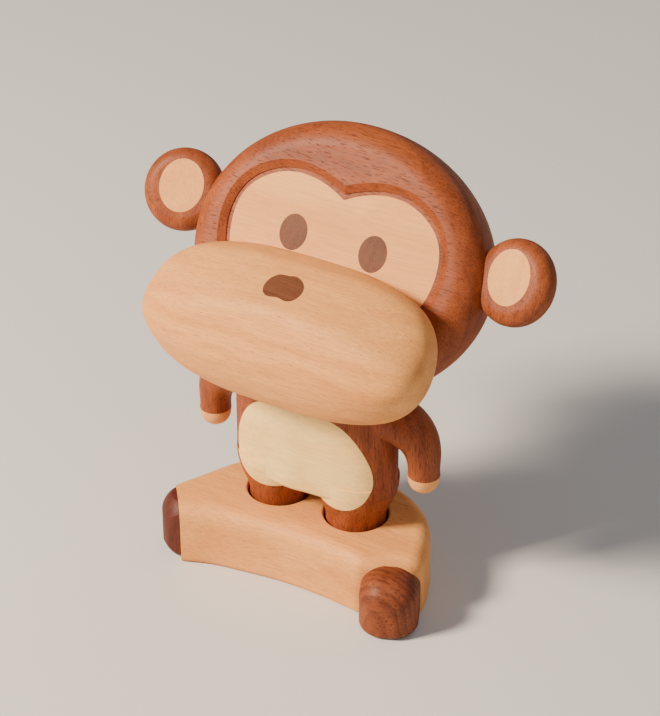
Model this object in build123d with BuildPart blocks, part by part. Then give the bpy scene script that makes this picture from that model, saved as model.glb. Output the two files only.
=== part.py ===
from build123d import *

from math import cos, pi, radians, sin

# Eyeglasses display stand: a carved wooden monkey that stands on a banana.
# The glasses rest in the groove between the muzzle and the face.
#
# Millimetres, +Z up. The origin is on the underside of the banana, midway between
# the two legs. The figure faces -Y, and its own left side is +X.

# ---- Banana base ----
BASE_HEIGHT = 24.0
BASE_TOP_ROUND = 5.3
BASE_FOOT_ROUND = 2.5
BASE_CORNER_ROUND = 6.5
BASE_BACK = [(49.6, -15), (46.8, -5), (41.6, 6.5), (33.5, 16), (18, 23.6), (0, 25.6), (-25, 19.6)]
BASE_BEHIND_TIP = [(-39.5, 6), (-46.6, -8)]
BASE_NOSE = [(-50.6, -21), (-44.2, -29.6)]
BASE_FRONT = [(-34, -27.2), (-20, -24), (-4, -21.9), (12, -21.8), (29.5, -23.6)]
TIP_SEAM = (-44.3, -22.4)
TIP_SEAM_ANGLE = 128.0
TIP_BALL = (13.2, 11.5, 8.6)
TIP_BALL_CENTRE = -2.0
SOCKET_RADIUS = 11.4
SOCKET_FLOOR = 9.8
SOCKET_LIP = 0.9

# ---- Banana stem ----
STEM_SEAM = (39.6, -18.6)
STEM_ANGLE = -66.0
STEM_WIDTH = 20.5
STEM_HEIGHT = 21.5
STEM_REACH = 13.8
STEM_TENON = 5.0
STEM_ROUND = 8.8
STEM_FOOT_ROUND = 3.0

# ---- Figure: trunk, legs and arms carved from one block ----
LEG_SPACING = 31.0
LEG_RADIUS = 10.6
LEG_FOOT = 10.0
LEG_CHAMFER = 0.8
TRUNK_BOTTOM = 35.0
TRUNK_TOP = 77.0
TRUNK_FOOT_ROUND = 2.5
TRUNK_TOP_ROUND = 6.0
TRUNK_OUTLINE = [(0, -14), (14, -13), (25.5, -9.6), (31, -1), (26, 8.4), (14, 12), (0, 13)]
LEG_FLARE = [(24.5, 10.6, 10.6), (28, 11.4, 11.1), (32.5, 13.4, 12.3), (37, 15.0, 13.2), (42, 15.4, 13.4)]
ARM_PATH = [(16, 68), (32, 67.7), (39.2, 62.8), (41.5, 56), (41.7, 49.5)]
ARM_RADII = [8.5, 8.5, 8.3, 7.4, 6.1, 5.6]
HAND_TIP_LENGTH = 6.6
BELLY_DEPTH = 6.6
BELLY_OUTLINE = [(0, 34.8), (7, 33.6), (14, 32.6), (20.8, 34.2), (25.6, 39.6), (26.8, 47), (24.5, 56), (18, 65.5), (0, 69.6)]

# ---- Head, which leans back ----
HEAD_TILT = 30.0
HEAD_POINT = (0, 16, 124.5)
HEAD_HALF_WIDTH = 54.5
HEAD_HALF_HEIGHT = 46.0
HEAD_MIDDLE = -10.0
HEAD_FRONT = 5.5
HEAD_BACK = -35.0
HEAD_FRONT_ROUND = 9.0
HEAD_BACK_ROUND = 29.0
SEAT_HEIGHT = 77.3
FACE_LEVEL = 3.7
FACE_THICKNESS = 4.0
FACE_HALF = [(8, 13.2), (20, 14.6), (30.8, 10.6), (37.4, 3.2), (39, -6), (36.6, -17)]
FACE_NOTCH = (0, 9.6)
FACE_FOOT = (27, -25.5)
RECESS_MARGIN = 1.4
RECESS_POINTS = 8
RECESS_NOTCH_RISE = 2.1
RECESS_BEVEL = (2.6, 1.4)
EYE_SPACING = 30.4
EYE_RISE = -5.0
EYE_HALF = (5.2, 6.2)
EYE_DEPTH = 3.0

# ---- Ears ----
EAR_RADIUS = 14.5
EAR_PLACE = (62.8, -1.5)
EAR_FRONT = 1.3
EAR_THICKNESS = 10.0
EAR_TURN = 12.0
EAR_FRONT_ROUND = 4.8
EAR_BACK_ROUND = 4.8
EAR_INLAY_HALF = (8.0, 9.3)
EAR_INLAY_RISE = 1.2
EAR_INLAY_DEPTH = 2.2

# ---- Muzzle, a pebble whose sections shrink towards both ends ----
MUZZLE_HALF_WIDTH = 52.0
MUZZLE_TOP = -10.7
MUZZLE_BOTTOM = -61.2
MUZZLE_END = -36.0
MUZZLE_CORE = 22.0
MUZZLE_SECTIONS = 11
OUTLINE_POWER = 2.75
DEPTH_POWER = 3.2
RIDGE_SAG = 0.19
MUZZLE_PROFILE = [
    (0.0, 15.5),
    (0.07, 23.2),
    (0.19, 29.0),
    (0.32, 34.8),
    (0.36, 36.1),
    (0.40, 36.7),
    (0.55, 36.0),
    (0.73, 33.4),
    (0.895, 27.2),
    (1.0, 17.5),
    (0.93, 7.2),
    (0.74, 1.0),
    (0.45, -1.0),
    (0.17, 2.8),
    (0.035, 8.6),
]
MUZZLE_FRONT = max(out for _, out in MUZZLE_PROFILE)
NOSE_RISE = -21.6
NOSE_HALF = [(0, 3.9), (4.0, 3.4), (6.8, 0.3), (5.8, -3.0), (3.0, -4.0), (0, -3.6)]
NOSE_DEPTH = 23.5

# ---- Dowels ----
DOWEL_SLACK = 0.05
DOWEL_CHAMFER = 0.4
NECK_RADIUS = 6.0
NECK_SPAN = (58.0, 95.0)
MUZZLE_DOWEL_RADIUS = 4.0
MUZZLE_DOWEL_PLACE = (22.0, -38.0)
MUZZLE_DOWEL_SPAN = (-12.0, 21.0)
EAR_DOWEL_RADIUS = 2.2
EAR_DOWEL_LEVEL = -5.6
EAR_DOWEL_SPAN = (38.0, 61.0)
HAND_PIN_RADIUS = 1.5
HAND_PIN_SPAN = (45.5, 57.0)
END_DOWEL_RADIUS = 4.0
TIP_DOWEL_SPAN = (-10.0, 3.5)
STEM_DOWEL_SPAN = (-14.0, 7.0)

# ---- A length that goes right through any one piece ----
CUT_THROUGH = 60.0

TILT_SIN = sin(radians(HEAD_TILT))
TILT_COS = cos(radians(HEAD_TILT))
UP_THE_FACE = (0, TILT_SIN, TILT_COS)
OUT_OF_THE_FACE = (0, -TILT_COS, TILT_SIN)
FACE_PLANE = Plane(origin=HEAD_POINT, x_dir=(1, 0, 0), z_dir=OUT_OF_THE_FACE)
FACE_AXIS = Axis(HEAD_POINT, OUT_OF_THE_FACE)
SIDES = {"left": 1, "right": -1}


def keep(builder, name):
    """Label one finished piece and write its file."""
    builder.part.label = name
    export_step(builder.part, f"parts/{name}.step")


def peg(plane, radius, span):
    """A round dowel on a plane's own axis, from span[0] to span[1] along it."""
    with BuildPart() as dowel:
        with BuildSketch(plane.offset(span[0])):
            Circle(radius)
        extrude(amount=span[1] - span[0])
        ends = dowel.faces().filter_by(GeomType.PLANE).edges()
        chamfer(ends, DOWEL_CHAMFER)
    return dowel


def bore(plane, radius, span):
    """The plain hole that a dowel of this radius is glued or turns in."""
    with BuildPart() as hole:
        with BuildSketch(plane.offset(span[0] - DOWEL_SLACK)):
            Circle(radius + DOWEL_SLACK)
        extrude(amount=span[1] - span[0] + 2 * DOWEL_SLACK)
    return hole.part


# ---- Planes that the dowels and the end pieces share ----
NECK_AXIS = Plane.XY
TIP_AXIS = Plane(
    origin=(*TIP_SEAM, BASE_HEIGHT / 2),
    x_dir=(0, 0, 1),
    z_dir=(cos(radians(TIP_SEAM_ANGLE + 90)), sin(radians(TIP_SEAM_ANGLE + 90)), 0),
)
STEM_AXIS = Plane(
    origin=(*STEM_SEAM, STEM_HEIGHT / 2),
    x_dir=(0, 0, 1),
    z_dir=(cos(radians(STEM_ANGLE)), sin(radians(STEM_ANGLE)), 0),
)


def hand_axis(side):
    return Plane.XY.shift_origin((side * ARM_PATH[-1][0], 0))


def muzzle_dowel_axis(side):
    place = FACE_PLANE.from_local_coords((side * MUZZLE_DOWEL_PLACE[0], MUZZLE_DOWEL_PLACE[1], 0))
    return Plane(origin=place, x_dir=(1, 0, 0), z_dir=OUT_OF_THE_FACE)


def ear_dowel_axis(side):
    place = FACE_PLANE.from_local_coords((0, EAR_PLACE[1], EAR_DOWEL_LEVEL))
    return Plane(origin=place, x_dir=(0, 0, 1), z_dir=(side, 0, 0))


# ---- Banana: stem, then the body, then the dark tip cut from its nose ----
stem_reach_axis = Axis(STEM_AXIS.origin, STEM_AXIS.z_dir)
with BuildPart() as stem_block:
    with BuildSketch(STEM_AXIS.offset(-STEM_TENON)):
        Rectangle(STEM_HEIGHT, STEM_WIDTH)
    extrude(amount=STEM_TENON + STEM_REACH)
    foot_edges = stem_block.edges().group_by(Axis.Z)[0]
    tenon_edges = stem_block.edges().group_by(stem_reach_axis)[0]
    fillet(stem_block.edges() - foot_edges - tenon_edges, STEM_ROUND)
    foot_edges = stem_block.faces().sort_by(Axis.Z)[0].edges()
    tenon_edges = stem_block.faces().sort_by(stem_reach_axis)[0].edges()
    fillet(foot_edges - tenon_edges, STEM_FOOT_ROUND)

with BuildPart() as banana_stem:
    add(stem_block.part)
    add(bore(STEM_AXIS, END_DOWEL_RADIUS, STEM_DOWEL_SPAN), mode=Mode.SUBTRACT)

with BuildPart() as banana:
    with BuildSketch() as banana_outline:
        with BuildLine():
            rim = Spline(*BASE_BACK, *BASE_BEHIND_TIP, *BASE_NOSE, *BASE_FRONT)
            Line(rim @ 1, rim @ 0)
        make_face()
        fillet(banana_outline.vertices(), BASE_CORNER_ROUND)
    extrude(amount=BASE_HEIGHT)
    fillet(banana.faces().sort_by(Axis.Z)[-1].edges(), BASE_TOP_ROUND)
    fillet(banana.faces().sort_by(Axis.Z)[0].edges(), BASE_FOOT_ROUND)

with BuildPart() as tip_ball:
    Sphere(1)
    scale(by=TIP_BALL)

with BuildPart() as banana_tip:
    add(banana.part)
    split(bisect_by=TIP_AXIS, keep=Keep.TOP)
    with Locations(TIP_AXIS.offset(TIP_BALL_CENTRE)):
        add(tip_ball.part, mode=Mode.INTERSECT)
    add(bore(TIP_AXIS, END_DOWEL_RADIUS, TIP_DOWEL_SPAN), mode=Mode.SUBTRACT)

with BuildPart() as banana_base:
    add(banana.part)
    split(bisect_by=TIP_AXIS, keep=Keep.BOTTOM)
    add(stem_block.part, mode=Mode.SUBTRACT)
    add(bore(TIP_AXIS, END_DOWEL_RADIUS, TIP_DOWEL_SPAN), mode=Mode.SUBTRACT)
    add(bore(STEM_AXIS, END_DOWEL_RADIUS, STEM_DOWEL_SPAN), mode=Mode.SUBTRACT)
    with BuildSketch(Plane.XY.offset(SOCKET_FLOOR)):
        with GridLocations(LEG_SPACING, 0, 2, 1):
            Circle(SOCKET_RADIUS)
    extrude(amount=BASE_HEIGHT, mode=Mode.SUBTRACT)
    top_face = banana_base.faces().filter_by(Plane.XY).sort_by(Axis.Z)[-1]
    fillet(top_face.edges().filter_by(GeomType.CIRCLE), SOCKET_LIP)

keep(banana_base, "banana_base")
keep(banana_tip, "banana_tip")
keep(banana_stem, "banana_stem")
keep(peg(TIP_AXIS, END_DOWEL_RADIUS, TIP_DOWEL_SPAN), "tip_dowel")
keep(peg(STEM_AXIS, END_DOWEL_RADIUS, STEM_DOWEL_SPAN), "stem_dowel")


# ---- Figure ----
def hand_end(side):
    """A rounded cap that carries on from the end of one arm."""
    radius = ARM_RADII[-1]
    place = Plane.XZ.shift_origin((side * ARM_PATH[-1][0], 0, ARM_PATH[-1][1]))
    with BuildPart() as cap:
        with BuildSketch(place):
            with BuildLine():
                Line((radius, 0), (0, 0))
                Line((0, 0), (0, -HAND_TIP_LENGTH))
                Spline((0, -HAND_TIP_LENGTH), (radius, 0), tangents=[(1, 0), (0, 1)])
            make_face()
        revolve(axis=Axis(place.origin, (0, 0, 1)))
        add(bore(hand_axis(side), HAND_PIN_RADIUS, HAND_PIN_SPAN), mode=Mode.SUBTRACT)
    return cap


with BuildLine(Plane.XZ) as arm_line:
    Spline(*ARM_PATH, tangents=[(1, 0), (0, -1)])
arm_curve = arm_line.line

with BuildPart() as arm:
    last = len(ARM_RADII) - 1
    for i, radius in enumerate(ARM_RADII):
        with BuildSketch(Plane(origin=arm_curve @ (i / last), z_dir=arm_curve % (i / last))):
            Circle(radius)
    loft()

with BuildPart() as leg:
    for height, half_width, half_depth in LEG_FLARE:
        with BuildSketch(Plane.XY.offset(height)):
            with Locations((LEG_SPACING / 2, 0)):
                Ellipse(half_width, half_depth)
    loft()
    with BuildSketch(Plane.XY.offset(LEG_FOOT)):
        with Locations((LEG_SPACING / 2, 0)):
            Circle(LEG_RADIUS)
    extrude(amount=LEG_FLARE[0][0] - LEG_FOOT)
    chamfer(leg.faces().sort_by(Axis.Z)[0].edges(), LEG_CHAMFER)

with BuildPart() as carving:
    with BuildSketch(Plane.XY.offset(TRUNK_BOTTOM)):
        with BuildLine():
            half = TRUNK_OUTLINE[1:-1]
            other_half = [(-x, y) for x, y in reversed(half)]
            Spline(TRUNK_OUTLINE[0], *half, TRUNK_OUTLINE[-1], *other_half, periodic=True)
        make_face()
    extrude(amount=TRUNK_TOP - TRUNK_BOTTOM)
    fillet(carving.faces().sort_by(Axis.Z)[0].edges(), TRUNK_FOOT_ROUND)
    fillet(carving.faces().sort_by(Axis.Z)[-1].edges(), TRUNK_TOP_ROUND)
    add(leg.part)
    mirror(leg.part, about=Plane.YZ)
    add(arm.part)
    mirror(arm.part, about=Plane.YZ)

with BuildPart() as belly_inlay:
    add(carving.part)
    with BuildSketch(Plane.XZ.offset(BELLY_DEPTH)):
        with BuildLine():
            half = BELLY_OUTLINE[1:-1]
            other_half = [(-x, z) for x, z in reversed(half)]
            Spline(BELLY_OUTLINE[0], *half, BELLY_OUTLINE[-1], *other_half, periodic=True)
        make_face()
    extrude(amount=CUT_THROUGH, mode=Mode.INTERSECT)

with BuildPart() as torso:
    add(carving.part)
    add(belly_inlay.part, mode=Mode.SUBTRACT)
    add(bore(NECK_AXIS, NECK_RADIUS, NECK_SPAN), mode=Mode.SUBTRACT)
    for side in SIDES.values():
        add(bore(hand_axis(side), HAND_PIN_RADIUS, HAND_PIN_SPAN), mode=Mode.SUBTRACT)

keep(torso, "torso")
keep(belly_inlay, "belly_inlay")
keep(peg(NECK_AXIS, NECK_RADIUS, NECK_SPAN), "neck_dowel")
for name, side in SIDES.items():
    keep(hand_end(side), f"hand_tip_{name}")
    keep(peg(hand_axis(side), HAND_PIN_RADIUS, HAND_PIN_SPAN), f"hand_pin_{name}")


# ---- Head ----
def grown(curve, share, margin):
    """The point at a share of a curve's length, moved out of the face by a margin."""
    along = curve % share
    return curve @ share + Vector(-along.Y, along.X) * margin


with BuildSketch() as face_shape:
    with BuildLine():
        cheek = Spline(FACE_NOTCH, *FACE_HALF, FACE_FOOT)
        Line(cheek @ 1, (0, FACE_FOOT[1]))
        Line((0, FACE_FOOT[1]), FACE_NOTCH)
    make_face()
    mirror(about=Plane.YZ)

with BuildSketch() as recess_shape:
    with BuildLine():
        notch = (0, FACE_NOTCH[1] + RECESS_NOTCH_RISE)
        shares = [i / RECESS_POINTS for i in range(1, RECESS_POINTS + 1)]
        brow = Spline(notch, *[grown(cheek, share, RECESS_MARGIN) for share in shares])
        Line(brow @ 1, (0, (brow @ 1).Y))
        Line((0, (brow @ 1).Y), notch)
    make_face()
    mirror(about=Plane.YZ)

with BuildPart() as skull:
    with BuildSketch(FACE_PLANE.offset(HEAD_BACK)):
        with Locations((0, HEAD_MIDDLE)):
            Ellipse(HEAD_HALF_WIDTH, HEAD_HALF_HEIGHT)
    extrude(amount=HEAD_FRONT - HEAD_BACK)
    fillet(skull.edges().sort_by(FACE_AXIS)[-1], HEAD_FRONT_ROUND)
    fillet(skull.edges().sort_by(FACE_AXIS)[0], HEAD_BACK_ROUND)
    split(bisect_by=Plane.XY.offset(SEAT_HEIGHT), keep=Keep.TOP)

with BuildPart() as head_block:
    add(skull.part)
    with BuildSketch(FACE_PLANE.offset(FACE_LEVEL)):
        add(recess_shape.sketch)
    extrude(amount=CUT_THROUGH, mode=Mode.SUBTRACT)
    front_face = head_block.faces().filter_by(FACE_PLANE).sort_by(FACE_AXIS)[-1]
    recess_rim = front_face.inner_wires().edges()
    chamfer(recess_rim, RECESS_BEVEL[0], RECESS_BEVEL[1], reference=front_face)
    with BuildSketch(FACE_PLANE.offset(FACE_LEVEL)):
        add(face_shape.sketch)
    extrude(amount=-FACE_THICKNESS, mode=Mode.SUBTRACT)
    add(bore(NECK_AXIS, NECK_RADIUS, NECK_SPAN), mode=Mode.SUBTRACT)
    for side in SIDES.values():
        add(bore(muzzle_dowel_axis(side), MUZZLE_DOWEL_RADIUS, MUZZLE_DOWEL_SPAN), mode=Mode.SUBTRACT)
        add(bore(ear_dowel_axis(side), EAR_DOWEL_RADIUS, EAR_DOWEL_SPAN), mode=Mode.SUBTRACT)

with BuildPart() as face_inlay:
    with BuildSketch(FACE_PLANE.offset(FACE_LEVEL)):
        add(face_shape.sketch)
    extrude(amount=-FACE_THICKNESS)
    with BuildSketch(FACE_PLANE.offset(FACE_LEVEL)):
        with Locations((0, EYE_RISE)):
            with GridLocations(EYE_SPACING, 0, 2, 1):
                Ellipse(*EYE_HALF)
    extrude(amount=-EYE_DEPTH, mode=Mode.SUBTRACT)

keep(head_block, "head_block")
keep(face_inlay, "face_inlay")
for name, side in SIDES.items():
    with BuildPart() as eye:
        with BuildSketch(FACE_PLANE.offset(FACE_LEVEL)):
            with Locations((side * EYE_SPACING / 2, EYE_RISE)):
                Ellipse(*EYE_HALF)
        extrude(amount=-EYE_DEPTH)
    keep(eye, f"eye_inlay_{name}")


# ---- Ears ----
def ear_plane(side):
    """The front of one ear, turned in towards the face."""
    turn_sin = side * sin(radians(EAR_TURN))
    turn_cos = cos(radians(EAR_TURN))
    _, out_y, out_z = OUT_OF_THE_FACE
    return Plane(
        origin=FACE_PLANE.from_local_coords((side * EAR_PLACE[0], EAR_PLACE[1], EAR_FRONT)),
        x_dir=(turn_cos, turn_sin * out_y, turn_sin * out_z),
        z_dir=(-turn_sin, turn_cos * out_y, turn_cos * out_z),
    )


for name, side in SIDES.items():
    front = ear_plane(side)
    front_axis = Axis(front.origin, front.z_dir)
    with BuildPart() as ear_disc:
        with BuildSketch(front):
            Circle(EAR_RADIUS)
        extrude(amount=-EAR_THICKNESS)
        fillet(ear_disc.edges().sort_by(front_axis)[-1], EAR_FRONT_ROUND)
        fillet(ear_disc.edges().sort_by(front_axis)[0], EAR_BACK_ROUND)
    with BuildPart() as ear_inlay:
        add(ear_disc.part)
        with BuildSketch(front.offset(-EAR_INLAY_DEPTH)):
            with Locations((0, EAR_INLAY_RISE)):
                Ellipse(*EAR_INLAY_HALF)
        extrude(amount=CUT_THROUGH, mode=Mode.INTERSECT)
        add(skull.part, mode=Mode.SUBTRACT)
    with BuildPart() as ear:
        add(ear_disc.part)
        add(skull.part, mode=Mode.SUBTRACT)
        add(ear_inlay.part, mode=Mode.SUBTRACT)
        add(bore(ear_dowel_axis(side), EAR_DOWEL_RADIUS, EAR_DOWEL_SPAN), mode=Mode.SUBTRACT)
    keep(ear, f"ear_{name}")
    keep(ear_inlay, f"ear_inlay_{name}")
    keep(peg(ear_dowel_axis(side), EAR_DOWEL_RADIUS, EAR_DOWEL_SPAN), f"ear_dowel_{name}")


# ---- Muzzle ----
def superellipse(share, power):
    """Height of a unit superellipse, 1 at the middle and 0 at share 1."""
    return (1 - abs(share) ** power) ** (1 / power)


def muzzle_section(share):
    """Points round the muzzle where it is cut at this share of its half width."""
    height = superellipse(share, OUTLINE_POWER)
    depth = superellipse(share, DEPTH_POWER)
    top = MUZZLE_END + height * (MUZZLE_TOP - MUZZLE_END)
    bottom = MUZZLE_END + height * (MUZZLE_BOTTOM - MUZZLE_END)
    points = []
    for fall, out in MUZZLE_PROFILE:
        forward = max(0, out - MUZZLE_CORE) / (MUZZLE_FRONT - MUZZLE_CORE)
        fall += RIDGE_SAG * share**2 * sin(pi * fall) * forward
        points.append((top + fall * (bottom - top), MUZZLE_CORE + depth * (out - MUZZLE_CORE)))
    return points


def muzzle_end(side):
    return Vertex(*FACE_PLANE.from_local_coords((side * MUZZLE_HALF_WIDTH, MUZZLE_END, MUZZLE_CORE)))


with BuildPart() as pebble:
    sections = [muzzle_end(-1)]
    for i in range(1, MUZZLE_SECTIONS + 1):
        share = -cos(pi * i / (MUZZLE_SECTIONS + 1))
        middle = FACE_PLANE.from_local_coords((share * MUZZLE_HALF_WIDTH, 0, 0))
        with BuildSketch(Plane(origin=middle, x_dir=UP_THE_FACE, z_dir=(1, 0, 0))) as section:
            with BuildLine():
                Spline(*muzzle_section(share), periodic=True)
            make_face()
        sections.append(section.sketch)
    sections.append(muzzle_end(1))
    loft(sections)
    split(bisect_by=FACE_PLANE.offset(HEAD_FRONT), keep=Keep.TOP)

with BuildPart() as nose_inlay:
    add(pebble.part)
    with BuildSketch(FACE_PLANE.offset(NOSE_DEPTH)):
        with BuildLine():
            half = [(x, NOSE_RISE + y) for x, y in NOSE_HALF]
            other_half = [(-x, y) for x, y in reversed(half[1:-1])]
            Spline(*half, *other_half, periodic=True)
        make_face()
    extrude(amount=CUT_THROUGH, mode=Mode.INTERSECT)

with BuildPart() as muzzle:
    add(pebble.part)
    add(nose_inlay.part, mode=Mode.SUBTRACT)
    for side in SIDES.values():
        add(bore(muzzle_dowel_axis(side), MUZZLE_DOWEL_RADIUS, MUZZLE_DOWEL_SPAN), mode=Mode.SUBTRACT)

keep(muzzle, "muzzle")
keep(nose_inlay, "nose_inlay")
for name, side in SIDES.items():
    keep(peg(muzzle_dowel_axis(side), MUZZLE_DOWEL_RADIUS, MUZZLE_DOWEL_SPAN), f"muzzle_dowel_{name}")
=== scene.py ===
"""Looks of a carved wooden eyeglasses stand: a monkey that stands on a banana.

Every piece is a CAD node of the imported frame. This script gives each one its wood,
and adds a plain floor, soft lights and the camera. Metres, +Z up, the figure faces -Y.
"""

import math

import bpy
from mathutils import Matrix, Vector


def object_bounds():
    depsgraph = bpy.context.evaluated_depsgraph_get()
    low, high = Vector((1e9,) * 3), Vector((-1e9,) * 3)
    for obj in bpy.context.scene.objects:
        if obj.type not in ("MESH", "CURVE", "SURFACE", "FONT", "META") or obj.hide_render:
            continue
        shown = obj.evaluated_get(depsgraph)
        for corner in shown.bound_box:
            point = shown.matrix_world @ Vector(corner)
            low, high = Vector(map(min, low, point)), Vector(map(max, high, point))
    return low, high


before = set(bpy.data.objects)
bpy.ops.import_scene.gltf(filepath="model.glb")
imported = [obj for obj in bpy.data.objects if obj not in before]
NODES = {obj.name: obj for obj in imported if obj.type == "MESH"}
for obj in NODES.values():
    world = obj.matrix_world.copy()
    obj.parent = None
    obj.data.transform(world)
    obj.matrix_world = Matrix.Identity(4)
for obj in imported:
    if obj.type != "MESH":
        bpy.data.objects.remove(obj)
cad_low, cad_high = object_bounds()

# ---- Camera ----
CAMERA_AZIMUTH = math.radians(30.2)
CAMERA_ELEVATION = math.radians(32.2)
CAMERA_DISTANCE = 0.80
CAMERA_AIM = Vector((-0.0063, 0.0180, 0.0707))
CAMERA_LENS_MM = 115.7
CAMERA_SENSOR_MM = 36.0
CAMERA_SHIFT_X = 0.0028


def make_camera():
    """The camera stands to the figure's left of straight ahead, and looks down on it."""
    level = math.cos(CAMERA_ELEVATION)
    back = Vector(
        (
            math.sin(CAMERA_AZIMUTH) * level,
            -math.cos(CAMERA_AZIMUTH) * level,
            math.sin(CAMERA_ELEVATION),
        )
    )
    data = bpy.data.cameras.new("camera")
    data.lens = CAMERA_LENS_MM
    data.sensor_width = CAMERA_SENSOR_MM
    data.shift_x = CAMERA_SHIFT_X
    camera = bpy.data.objects.new("camera", data)
    camera.location = CAMERA_AIM + back * CAMERA_DISTANCE
    camera.rotation_euler = back.to_track_quat("Z", "Y").to_euler()
    bpy.context.scene.collection.objects.link(camera)
    bpy.context.scene.camera = camera


# ---- Shader nodes ----
def shader_node(tree, kind, inputs=None, **settings):
    """Add a node. An input is either another node's output or a plain value."""
    made = tree.nodes.new(kind)
    for name, value in settings.items():
        setattr(made, name, value)
    for name, value in (inputs or {}).items():
        if isinstance(value, bpy.types.NodeSocket):
            tree.links.new(value, made.inputs[name])
        else:
            made.inputs[name].default_value = value
    return made


def math_node(tree, operation, first, second=0.0, clamp=False):
    """The result of one sum of two numbers."""
    values = {0: first, 1: second}
    return shader_node(tree, "ShaderNodeMath", values, operation=operation, use_clamp=clamp).outputs[0]


def vector_math(tree, operation, first, second):
    values = {0: first, 1: second}
    return shader_node(tree, "ShaderNodeVectorMath", values, operation=operation).outputs[0]


def spread(tree, value, low, high, to_low=0.0, to_high=1.0):
    """Map a value's range low..high to to_low..to_high, smoothly, with flat ends."""
    inputs = {"Value": value, "From Min": low, "From Max": high, "To Min": to_low, "To Max": to_high}
    made = shader_node(tree, "ShaderNodeMapRange", inputs, interpolation_type="SMOOTHSTEP")
    return made.outputs["Result"]


def mix_colour(tree, share, first, second, blend="MIX"):
    made = tree.nodes.new("ShaderNodeMix")
    made.data_type = "RGBA"
    made.blend_type = blend
    for index, value in ((0, share), (6, first), (7, second)):
        if isinstance(value, bpy.types.NodeSocket):
            tree.links.new(value, made.inputs[index])
        else:
            made.inputs[index].default_value = value
    return made.outputs[2]


def noise(tree, place, scale, detail=2.0, roughness=0.5):
    inputs = {"Vector": place, "Scale": scale, "Detail": detail, "Roughness": roughness}
    return shader_node(tree, "ShaderNodeTexNoise", inputs).outputs["Fac"]


def rgba(red, green, blue):
    return (red, green, blue, 1.0)


# ---- Woods ----
# Each wood has its early and late ring colours, its pore colour, and sizes in millimetres.
WOODS = {
    "sapele": {
        "early": rgba(0.330, 0.078, 0.022),
        "late": rgba(0.200, 0.040, 0.011),
        "pore": rgba(0.070, 0.015, 0.006),
        "ring": 5.0,
        "ring_share": 0.35,
        "wander": 9.0,
        "fibre": 0.32,
        "pore_length": 3.2,
        "pore_width": 0.30,
        "pore_cut": 0.60,
        "pore_depth": 0.75,
        "gloss": 0.52,
    },
    "beech": {
        "early": rgba(0.830, 0.365, 0.105),
        "late": rgba(0.690, 0.255, 0.065),
        "pore": rgba(0.360, 0.135, 0.050),
        "ring": 7.0,
        "ring_share": 0.30,
        "wander": 6.0,
        "fibre": 0.16,
        "pore_length": 2.0,
        "pore_width": 0.28,
        "pore_cut": 0.62,
        "pore_depth": 0.45,
        "gloss": 0.58,
    },
    "maple": {
        "early": rgba(0.850, 0.395, 0.125),
        "late": rgba(0.760, 0.315, 0.090),
        "pore": rgba(0.440, 0.200, 0.080),
        "ring": 6.0,
        "ring_share": 0.30,
        "wander": 5.0,
        "fibre": 0.14,
        "pore_length": 3.0,
        "pore_width": 0.22,
        "pore_cut": 0.70,
        "pore_depth": 0.30,
        "gloss": 0.62,
    },
    "pale_maple": {
        "early": rgba(0.980, 0.650, 0.240),
        "late": rgba(0.880, 0.510, 0.160),
        "pore": rgba(0.560, 0.330, 0.130),
        "ring": 9.0,
        "ring_share": 0.40,
        "wander": 7.0,
        "fibre": 0.12,
        "pore_length": 6.0,
        "pore_width": 0.40,
        "pore_cut": 0.66,
        "pore_depth": 0.22,
        "gloss": 0.62,
    },
    "walnut": {
        "early": rgba(0.165, 0.055, 0.024),
        "late": rgba(0.110, 0.034, 0.015),
        "pore": rgba(0.055, 0.017, 0.009),
        "ring": 3.0,
        "ring_share": 0.30,
        "wander": 4.0,
        "fibre": 0.25,
        "pore_length": 2.0,
        "pore_width": 0.25,
        "pore_cut": 0.62,
        "pore_depth": 0.50,
        "gloss": 0.56,
    },
    "rosewood": {
        "early": rgba(0.120, 0.026, 0.014),
        "late": rgba(0.075, 0.016, 0.009),
        "pore": rgba(0.025, 0.006, 0.004),
        "ring": 3.0,
        "ring_share": 0.35,
        "wander": 3.0,
        "fibre": 0.25,
        "pore_length": 3.0,
        "pore_width": 0.25,
        "pore_cut": 0.62,
        "pore_depth": 0.55,
        "gloss": 0.52,
    },
    "padauk": {
        "early": rgba(0.270, 0.066, 0.022),
        "late": rgba(0.130, 0.028, 0.010),
        "pore": rgba(0.050, 0.012, 0.005),
        "ring": 2.6,
        "ring_share": 0.60,
        "wander": 5.0,
        "fibre": 0.35,
        "pore_length": 3.0,
        "pore_width": 0.32,
        "pore_cut": 0.58,
        "pore_depth": 0.70,
        "gloss": 0.52,
    },
    "birch": {
        "early": rgba(0.720, 0.500, 0.300),
        "late": rgba(0.650, 0.430, 0.250),
        "pore": rgba(0.450, 0.270, 0.150),
        "ring": 4.0,
        "ring_share": 0.30,
        "wander": 3.0,
        "fibre": 0.15,
        "pore_length": 2.5,
        "pore_width": 0.22,
        "pore_cut": 0.68,
        "pore_depth": 0.30,
        "gloss": 0.6,
    },
}
MM = 1000.0
PITH = (0.0, 70.0, 95.0)
SEED_SHIFT = (37.0, 11.0, 5.0)
DRIFT_SCALE = 0.018
WOBBLE_SCALE = 0.06
WOBBLE_DEPTH = 1.6
LATE_RISE = (0.15, 0.88)
LATE_FALL = (0.90, 1.0)
FIBRE_STRETCH = (0.035, 1.0, 1.0)
FIBRE_SCALE = 1.9
STREAK_STRETCH = (0.10, 1.0, 1.0)
STREAK_SCALE = 0.11
STREAK_SHARE = (-0.20, 0.55)
PORE_SCALE = 0.9
PORE_EDGE = 0.10
PORE_DULLNESS = 0.18
FIBRE_HEIGHT = 0.25
BUMP_STRENGTH = 0.35
BUMP_DEPTH = 0.00006
SPECULAR_LEVEL = 0.22
OIL_COAT = 0.04
OIL_COAT_ROUGHNESS = 0.38


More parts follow.
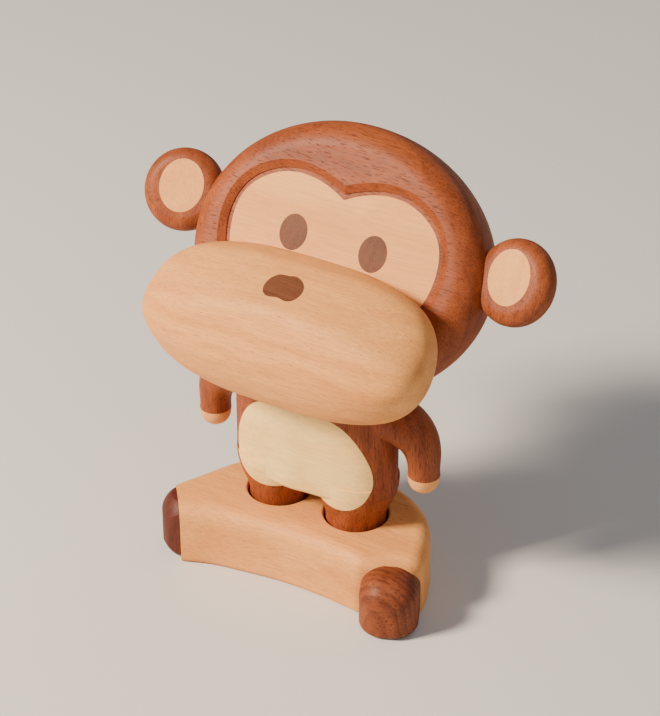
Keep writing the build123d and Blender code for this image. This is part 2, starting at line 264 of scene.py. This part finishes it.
def wood(name, kind, grain, seed):
    """A solid wood. Its fibres run along X, turned by grain, in degrees about X, Y and Z."""
    look = WOODS[kind]
    material = bpy.data.materials.new(name)
    material.use_nodes = True
    tree = material.node_tree
    surface = tree.nodes["Principled BSDF"]
    place = shader_node(tree, "ShaderNodeTexCoord").outputs["Object"]
    turned = shader_node(
        tree,
        "ShaderNodeMapping",
        {
            "Vector": place,
            "Location": tuple(seed * shift for shift in SEED_SHIFT),
            "Rotation": tuple(math.radians(angle) for angle in grain),
            "Scale": (MM, MM, MM),
        },
    ).outputs["Vector"]

    # the log isn't straight: the fibres wander slowly
    drift = shader_node(
        tree, "ShaderNodeTexNoise", {"Vector": turned, "Scale": DRIFT_SCALE, "Detail": 2.0}
    ).outputs["Color"]
    drift = vector_math(tree, "SUBTRACT", drift, (0.5, 0.5, 0.5))
    drift = vector_math(tree, "MULTIPLY", drift, (0.0, look["wander"], look["wander"]))
    along = vector_math(tree, "ADD", turned, drift)

    # growth rings about the pith, with the late wood darker
    across = vector_math(tree, "SUBTRACT", along, PITH)
    across = vector_math(tree, "MULTIPLY", across, (0.0, 1.0, 1.0))
    radius = shader_node(tree, "ShaderNodeVectorMath", {0: across}, operation="LENGTH").outputs["Value"]
    ring = math_node(tree, "DIVIDE", radius, look["ring"])
    wobble = noise(tree, along, WOBBLE_SCALE, 3.0)
    ring = math_node(tree, "ADD", ring, math_node(tree, "MULTIPLY", wobble, WOBBLE_DEPTH))
    ring = math_node(tree, "FRACT", ring)
    rising = spread(tree, ring, *LATE_RISE)
    falling = spread(tree, ring, *LATE_FALL, 1.0, 0.0)
    late = math_node(tree, "MULTIPLY", rising, falling)

    # fibres, streaks and pores, all much longer than they are wide
    fine = vector_math(tree, "MULTIPLY", along, FIBRE_STRETCH)
    fibre = noise(tree, fine, FIBRE_SCALE, 4.0, 0.65)
    broad = vector_math(tree, "MULTIPLY", along, STREAK_STRETCH)
    streak = noise(tree, broad, STREAK_SCALE, 3.0, 0.55)
    pore_shape = (1.0 / look["pore_length"], 1.0 / look["pore_width"], 1.0 / look["pore_width"])
    pore_place = vector_math(tree, "MULTIPLY", along, pore_shape)
    pore_noise = noise(tree, pore_place, PORE_SCALE, 1.0, 0.4)
    pore = spread(tree, pore_noise, look["pore_cut"], look["pore_cut"] + PORE_EDGE)

    # colour
    share = math_node(tree, "MULTIPLY", late, look["ring_share"])
    streaked = spread(tree, streak, 0.30, 0.72, *STREAK_SHARE)
    share = math_node(tree, "ADD", share, streaked, clamp=True)
    colour = mix_colour(tree, share, look["early"], look["late"])
    depth = look["fibre"]
    shade = spread(tree, fibre, 0.25, 0.75, 1.0 - depth, 1.0 + depth * 0.6)
    shade = shader_node(tree, "ShaderNodeCombineColor", {0: shade, 1: shade, 2: shade}).outputs[0]
    colour = mix_colour(tree, 1.0, colour, shade, "MULTIPLY")
    pore_share = math_node(tree, "MULTIPLY", pore, look["pore_depth"])
    colour = mix_colour(tree, pore_share, colour, look["pore"])
    tree.links.new(colour, surface.inputs["Base Color"])

    # satin oil finish, duller in the pores
    gloss = look["gloss"]
    rough = spread(tree, fibre, 0.3, 0.7, gloss - 0.03, gloss + 0.06)
    rough = math_node(tree, "ADD", rough, math_node(tree, "MULTIPLY", pore, PORE_DULLNESS))
    tree.links.new(rough, surface.inputs["Roughness"])
    height = math_node(tree, "MULTIPLY", fibre, FIBRE_HEIGHT)
    height = math_node(tree, "SUBTRACT", height, pore)
    bump_inputs = {"Height": height, "Strength": BUMP_STRENGTH, "Distance": BUMP_DEPTH}
    bump = shader_node(tree, "ShaderNodeBump", bump_inputs).outputs["Normal"]
    tree.links.new(bump, surface.inputs["Normal"])
    surface.inputs["Specular IOR Level"].default_value = SPECULAR_LEVEL
    surface.inputs["Coat Weight"].default_value = OIL_COAT
    surface.inputs["Coat Roughness"].default_value = OIL_COAT_ROUGHNESS
    return material


# ---- Which wood each piece is, and which way its grain runs ----
ACROSS = (0.0, 0.0, 0.0)
UPRIGHT = (0.0, 90.0, 0.0)
PIECES = {
    "head_block": ("sapele", ACROSS),
    "face_inlay": ("maple", ACROSS),
    "eye_inlay_left": ("walnut", UPRIGHT),
    "eye_inlay_right": ("walnut", UPRIGHT),
    "ear_left": ("sapele", UPRIGHT),
    "ear_right": ("sapele", UPRIGHT),
    "ear_inlay_left": ("maple", UPRIGHT),
    "ear_inlay_right": ("maple", UPRIGHT),
    "ear_dowel_left": ("birch", ACROSS),
    "ear_dowel_right": ("birch", ACROSS),
    "muzzle": ("beech", ACROSS),
    "muzzle_dowel_left": ("birch", UPRIGHT),
    "muzzle_dowel_right": ("birch", UPRIGHT),
    "nose_inlay": ("walnut", ACROSS),
    "torso": ("sapele", UPRIGHT),
    "belly_inlay": ("pale_maple", ACROSS),
    "neck_dowel": ("birch", UPRIGHT),
    "hand_tip_left": ("maple", UPRIGHT),
    "hand_tip_right": ("maple", UPRIGHT),
    "hand_pin_left": ("birch", UPRIGHT),
    "hand_pin_right": ("birch", UPRIGHT),
    "banana_base": ("beech", ACROSS),
    "banana_tip": ("rosewood", UPRIGHT),
    "banana_stem": ("padauk", ACROSS),
    "tip_dowel": ("birch", ACROSS),
    "stem_dowel": ("birch", ACROSS),
}


def dress_pieces():
    """Give every CAD node a wood of its own, cut from another part of the plank."""
    for seed, (node, (kind, grain)) in enumerate(PIECES.items()):
        data = NODES[node].data
        data.materials.clear()
        data.materials.append(wood(f"{node}_{kind}", kind, grain, seed))


# ---- Floor and lights ----
FLOOR_SIZE = 6.0
FLOOR_COLOUR = rgba(0.72, 0.70, 0.67)
FLOOR_ROUGHNESS = 0.85
WORLD_COLOUR = rgba(0.90, 0.93, 1.0)
WORLD_STRENGTH = 0.22
LIGHT_AIM = Vector((0.0, 0.0, 0.07))
# Each light has its place, its side in metres, its power in watts and its colour.
LIGHTS = {
    "key": (Vector((-0.72, -0.85, 0.92)), 0.30, 46.0, (1.0, 0.87, 0.69)),
    "fill": (Vector((1.10, -0.55, 0.80)), 0.9, 3.0, (1.0, 0.97, 0.93)),
    "rim": (Vector((0.35, 1.10, 0.90)), 0.7, 2.0, (1.0, 0.94, 0.86)),
}


def make_floor():
    """A plain pale floor."""
    bpy.ops.mesh.primitive_plane_add(size=FLOOR_SIZE, location=(0.0, 0.0, cad_low[2]))
    floor = bpy.context.object
    floor.name = "floor"
    material = bpy.data.materials.new("floor_paper")
    material.use_nodes = True
    surface = material.node_tree.nodes["Principled BSDF"]
    surface.inputs["Base Color"].default_value = FLOOR_COLOUR
    surface.inputs["Roughness"].default_value = FLOOR_ROUGHNESS
    floor.data.materials.append(material)


def make_light(name, place, size, power, colour):
    """A soft square light that faces the figure."""
    data = bpy.data.lights.new(name, "AREA")
    data.size = size
    data.energy = power
    data.color = colour
    light = bpy.data.objects.new(name, data)
    light.location = place
    light.rotation_euler = (place - LIGHT_AIM).to_track_quat("Z", "Y").to_euler()
    bpy.context.scene.collection.objects.link(light)


def make_world():
    """Faint even light from all round."""
    world = bpy.data.worlds.new("studio")
    world.use_nodes = True
    background = world.node_tree.nodes["Background"]
    background.inputs["Color"].default_value = WORLD_COLOUR
    background.inputs["Strength"].default_value = WORLD_STRENGTH
    bpy.context.scene.world = world


make_camera()
dress_pieces()
make_floor()
make_world()
for light_name, settings in LIGHTS.items():
    make_light(light_name, *settings)
